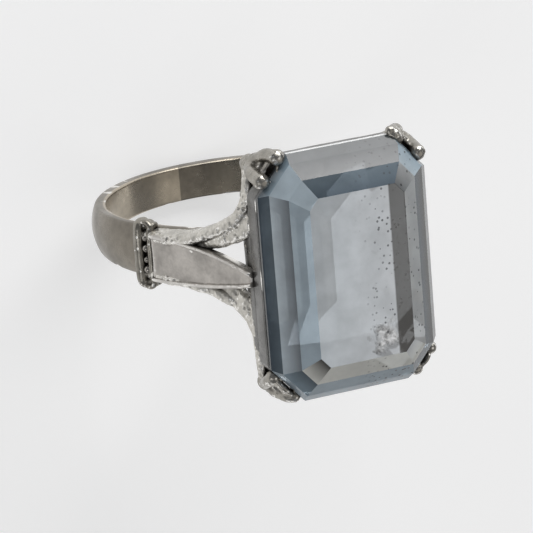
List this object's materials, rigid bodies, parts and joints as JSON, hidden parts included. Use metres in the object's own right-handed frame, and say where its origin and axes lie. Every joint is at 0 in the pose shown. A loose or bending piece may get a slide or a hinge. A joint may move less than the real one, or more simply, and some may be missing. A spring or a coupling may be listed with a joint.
{
  "type": "cocktail ring",
  "caption": "Finger ring with a large step-cut stone in a forked-claw basket, held by split shoulders on a tapering shank.",
  "frame": {"origin": "centre of the finger hole", "axes": "+Z from the finger up through the stone, +Y along the finger, +X across the shoulders"},
  "size_m": [0.0202, 0.0166, 0.0279],
  "materials": {
    "band_silver": "worn polish",
    "plate_silver": "satin",
    "shoulder_silver": "worn polish with dark recesses",
    "cast_silver": "pitted casting",
    "basket_silver": "worn polish, darkened",
    "claw_silver": "worn polish",
    "bright_silver": "polished",
    "stone": "faceted, transparent, pale steel blue"
  },
  "bodies": {
    "root": {"shank": "band_silver", "collar_left": "shoulder_silver", "collar_beads_left": "bright_silver", "shoulder_plate_left": "plate_silver", "shoulder_arm_front_left": "cast_silver", "claw_front_left": "claw_silver", "shoulder_arm_rear_left": "cast_silver", "claw_rear_left": "claw_silver", "collar_right": "shoulder_silver", "collar_beads_right": "bright_silver", "shoulder_plate_right": "plate_silver", "shoulder_arm_front_right": "cast_silver", "claw_front_right": "claw_silver", "shoulder_arm_rear_right": "cast_silver", "claw_rear_right": "claw_silver", "base_rail": "basket_silver", "gallery_rail": "basket_silver", "girdle_rail": "basket_silver", "gallery_beads": "bright_silver", "gemstone": "stone"}
  },
  "joints": []
}
